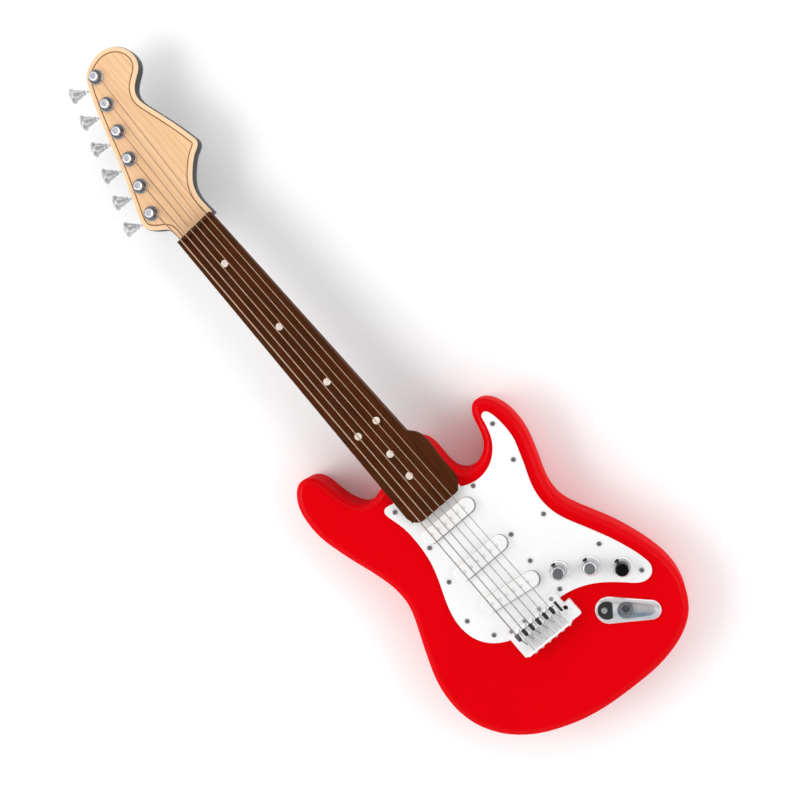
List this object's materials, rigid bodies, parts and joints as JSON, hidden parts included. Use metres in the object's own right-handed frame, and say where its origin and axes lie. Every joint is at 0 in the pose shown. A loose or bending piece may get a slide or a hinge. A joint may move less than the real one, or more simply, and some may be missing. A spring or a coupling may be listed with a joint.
{
  "type": "toy electric guitar",
  "caption": "Toy electric guitar with a two-shell double-cutaway body, plain fingerboard, geared string tuners, dials, bridge, jack cup and battery compartment.",
  "frame": {"origin": "on the body's back plane, under the middle of the bridge, on the strings' centreline", "axes": "+Y along the strings towards the headstock, +Z out of the guitar's face, +X towards the treble side; the guitar lies on its back"},
  "size_m": [0.2062, 0.6606, 0.0526],
  "materials": {
    "red_gloss_plastic": "high gloss moulded, rounded edges",
    "steel_screws": "zinc plated",
    "brown_plastic": "satin",
    "fingerboard_brown": "dark rosewood look, satin",
    "dot_cream": "polished",
    "black_plastic": "satin",
    "maple_face": "light maple, thin gloss coat",
    "string_wire": "drawn and wound wire",
    "chrome_plate": "polished plating",
    "steel_shaft": "turned",
    "button_grey": "silver grey, pearly",
    "steel_pressing": "pressed sheet",
    "white_plastic": "polished sheet",
    "screw_dark": "dull plated",
    "pickup_white": "satin gloss",
    "knob_chrome": "plated plastic",
    "bridge_chrome": "bright plating",
    "paper_cone": "felted",
    "board_green": "solder mask",
    "cell_wrap": "printed sleeve, plain"
  },
  "bodies": {
    "guitar": {"body_front_shell": "red_gloss_plastic", "body_back_shell": "red_gloss_plastic", "shell_screws": "steel_screws", "neck": "brown_plastic", "fingerboard": "fingerboard_brown", "position_dots": "dot_cream", "string_nut": "brown_plastic", "headstock_core": "black_plastic", "headstock_face": "maple_face", "string_1": "string_wire", "string_2": "string_wire", "string_3": "string_wire", "string_4": "string_wire", "string_5": "string_wire", "string_6": "string_wire", "tuner_bushings": "chrome_plate", "tuner_housings": "steel_pressing", "tuner_screws": "steel_screws", "pickguard": "white_plastic", "face_screws": "screw_dark", "pickup_neck": "pickup_white", "pickup_middle": "pickup_white", "pickup_bridge": "pickup_white", "potentiometers": "steel_pressing", "bridge_plate": "bridge_chrome", "bridge_saddles": "bridge_chrome", "bridge_screws": "steel_screws", "jack_plate": "chrome_plate", "jack_insert": "black_plastic", "jack_socket": "steel_shaft", "speaker_frame": "steel_pressing", "speaker_cone": "paper_cone", "speaker_screws": "steel_screws", "circuit_board": "board_green", "battery_cells": "cell_wrap", "battery_contacts": "steel_pressing", "switch_housing": "black_plastic"},
    "post_1": {"tuner_post_1": "chrome_plate"},
    "key_1": {"tuner_button_1": "button_grey", "tuner_worm_1": "steel_shaft"},
    "post_2": {"tuner_post_2": "chrome_plate"},
    "key_2": {"tuner_button_2": "button_grey", "tuner_worm_2": "steel_shaft"},
    "post_3": {"tuner_post_3": "chrome_plate"},
    "key_3": {"tuner_button_3": "button_grey", "tuner_worm_3": "steel_shaft"},
    "post_4": {"tuner_post_4": "chrome_plate"},
    "key_4": {"tuner_button_4": "button_grey", "tuner_worm_4": "steel_shaft"},
    "post_5": {"tuner_post_5": "chrome_plate"},
    "key_5": {"tuner_button_5": "button_grey", "tuner_worm_5": "steel_shaft"},
    "post_6": {"tuner_post_6": "chrome_plate"},
    "key_6": {"tuner_button_6": "button_grey", "tuner_worm_6": "steel_shaft"},
    "dial_1": {"knob_1": "knob_chrome"},
    "dial_2": {"knob_2": "knob_chrome"},
    "dial_3": {"knob_3": "knob_chrome"},
    "power_slider": {"switch_slider": "black_plastic"},
    "battery_cover": {"battery_door": "red_gloss_plastic"}
  },
  "joints": [
    {"name": "key_1_turn", "type": "hinge", "parent": "guitar", "child": "key_1", "pos_m": [0.0157, 0.55514, 0.0235], "axis": [-0.8884, 0.4591, 0], "continuous": true},
    {"name": "post_1_turn", "type": "hinge", "parent": "guitar", "child": "post_1", "pos_m": [0.0177, 0.559, 0.03], "axis": [0, 0, 1], "continuous": true},
    {"name": "key_2_turn", "type": "hinge", "parent": "guitar", "child": "key_2", "pos_m": [0.00792, 0.53271, 0.0235], "axis": [-0.8884, 0.4591, 0], "continuous": true},
    {"name": "post_2_turn", "type": "hinge", "parent": "guitar", "child": "post_2", "pos_m": [0.00992, 0.53657, 0.03], "axis": [0, 0, 1], "continuous": true},
    {"name": "key_3_turn", "type": "hinge", "parent": "guitar", "child": "key_3", "pos_m": [0.00014, 0.51028, 0.0235], "axis": [-0.8884, 0.4591, 0], "continuous": true},
    {"name": "post_3_turn", "type": "hinge", "parent": "guitar", "child": "post_3", "pos_m": [0.00214, 0.51414, 0.03], "axis": [0, 0, 1], "continuous": true},
    {"name": "key_4_turn", "type": "hinge", "parent": "guitar", "child": "key_4", "pos_m": [-0.00764, 0.48785, 0.0235], "axis": [-0.8884, 0.4591, 0], "continuous": true},
    {"name": "post_4_turn", "type": "hinge", "parent": "guitar", "child": "post_4", "pos_m": [-0.00564, 0.49171, 0.03], "axis": [0, 0, 1], "continuous": true},
    {"name": "key_5_turn", "type": "hinge", "parent": "guitar", "child": "key_5", "pos_m": [-0.01542, 0.46542, 0.0235], "axis": [-0.8884, 0.4591, 0], "continuous": true},
    {"name": "post_5_turn", "type": "hinge", "parent": "guitar", "child": "post_5", "pos_m": [-0.01342, 0.46928, 0.03], "axis": [0, 0, 1], "continuous": true},
    {"name": "key_6_turn", "type": "hinge", "parent": "guitar", "child": "key_6", "pos_m": [-0.0232, 0.44299, 0.0235], "axis": [-0.8884, 0.4591, 0], "continuous": true},
    {"name": "post_6_turn", "type": "hinge", "parent": "guitar", "child": "post_6", "pos_m": [-0.0212, 0.44685, 0.03], "axis": [0, 0, 1], "continuous": true},
    {"name": "dial_1_turn", "type": "hinge", "parent": "guitar", "child": "dial_1", "pos_m": [0.039, 0.0202, 0.04], "axis": [0, 0, -1], "range_deg": [-150, 150]},
    {"name": "dial_2_turn", "type": "hinge", "parent": "guitar", "child": "dial_2", "pos_m": [0.0601, 0.0079, 0.04], "axis": [0, 0, -1], "range_deg": [-150, 150]},
    {"name": "dial_3_turn", "type": "hinge", "parent": "guitar", "child": "dial_3", "pos_m": [0.0782, -0.008, 0.04], "axis": [0, 0, -1], "range_deg": [-150, 150]},
    {"name": "power_slide", "type": "slide", "parent": "guitar", "child": "power_slider", "axis": [1, 0, 0], "range_m": [0, 0.0045]},
    {"name": "battery_door_lift", "type": "slide", "parent": "guitar", "child": "battery_cover", "axis": [0, 0, -1], "range_m": [0, 0.03]}
  ],
  "couplings": [
    {"joint": "post_1_turn", "follows": "key_1_turn", "ratio": 0.083333},
    {"joint": "post_2_turn", "follows": "key_2_turn", "ratio": 0.083333},
    {"joint": "post_3_turn", "follows": "key_3_turn", "ratio": 0.083333},
    {"joint": "post_4_turn", "follows": "key_4_turn", "ratio": 0.083333},
    {"joint": "post_5_turn", "follows": "key_5_turn", "ratio": 0.083333},
    {"joint": "post_6_turn", "follows": "key_6_turn", "ratio": 0.083333}
  ]
}
